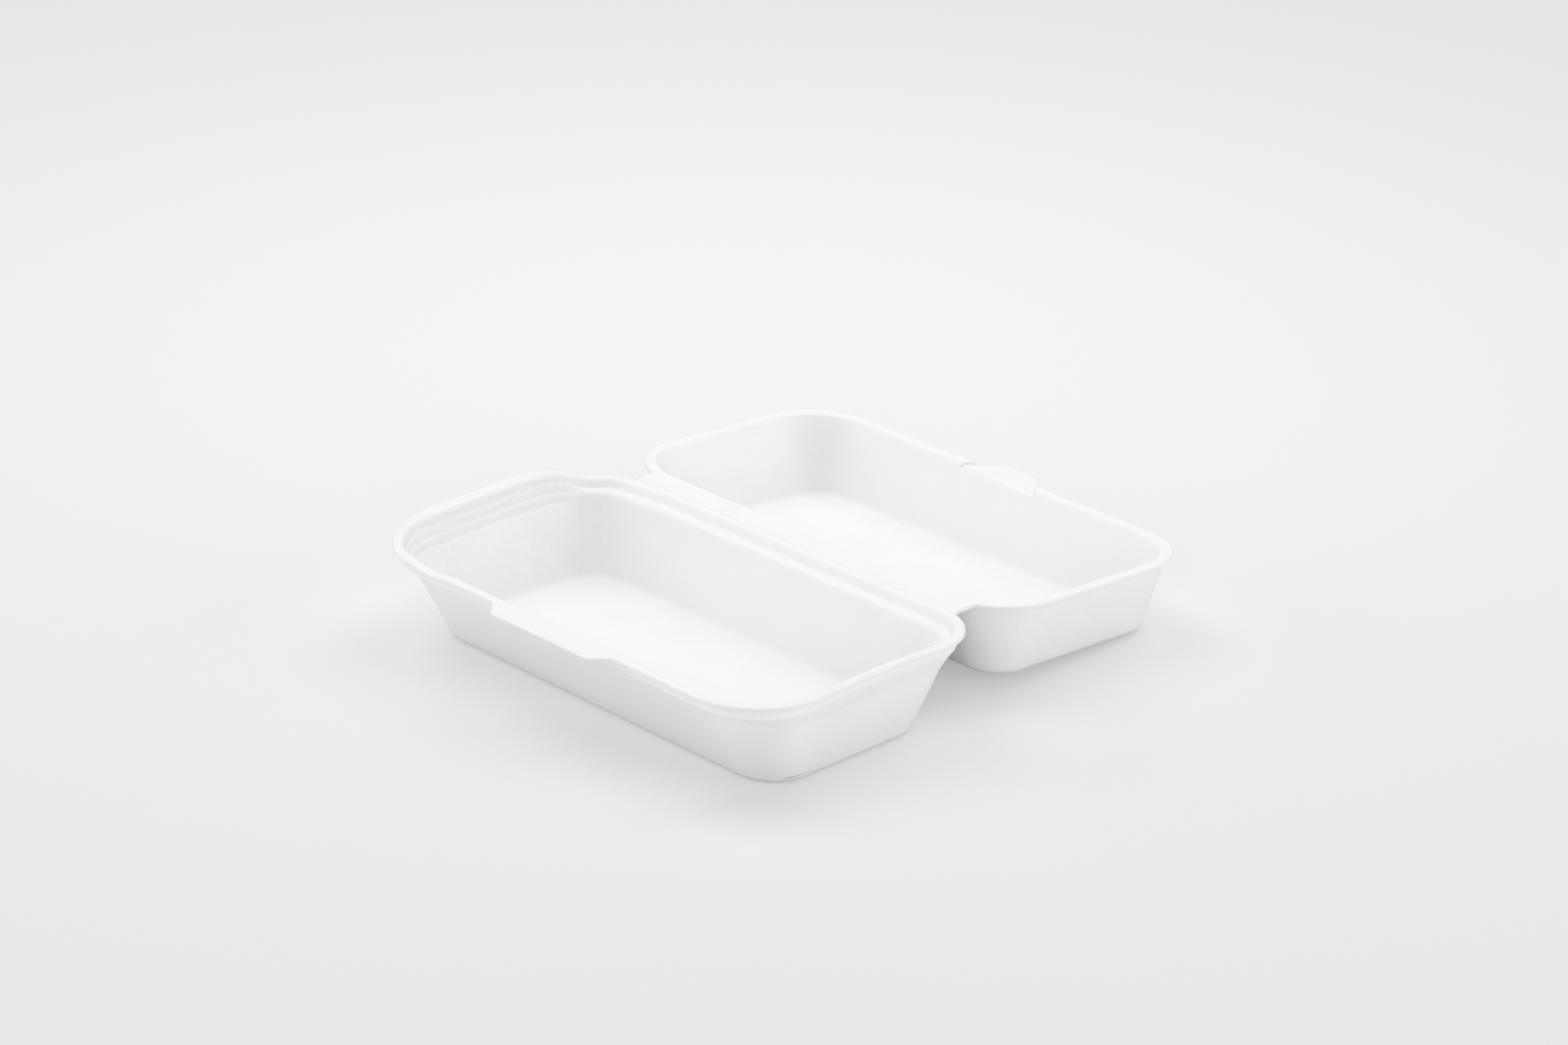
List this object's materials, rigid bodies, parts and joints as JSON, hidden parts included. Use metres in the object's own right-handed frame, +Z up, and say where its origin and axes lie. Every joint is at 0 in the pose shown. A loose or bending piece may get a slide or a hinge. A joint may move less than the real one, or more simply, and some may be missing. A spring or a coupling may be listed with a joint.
{
  "type": "hot dog box",
  "caption": "Hinged foam clamshell food box lying open: deep base tray with stepped rim and lock shelf, shallower lid tray with lock tongue.",
  "frame": {"origin": "on the table under the centre of the base tray's rim, on the base tray's flat underside", "axes": "+X along the hinge, +Y from the base tray over the hinge to the lid tray, +Z up"},
  "size_m": [0.19, 0.2213, 0.0354],
  "materials": {
    "foam": "white moulded foam sheet, matt with a soft sheen and fine cells"
  },
  "bodies": {
    "base": {"base_tray": "foam"},
    "lid": {"lid_tray": "foam"}
  },
  "joints": [
    {"name": "lid_hinge", "type": "hinge", "parent": "base", "child": "lid", "pos_m": [0, 0.05195, 0.03465], "axis": [1, 0, 0], "range_deg": [0, 183.47]}
  ]
}
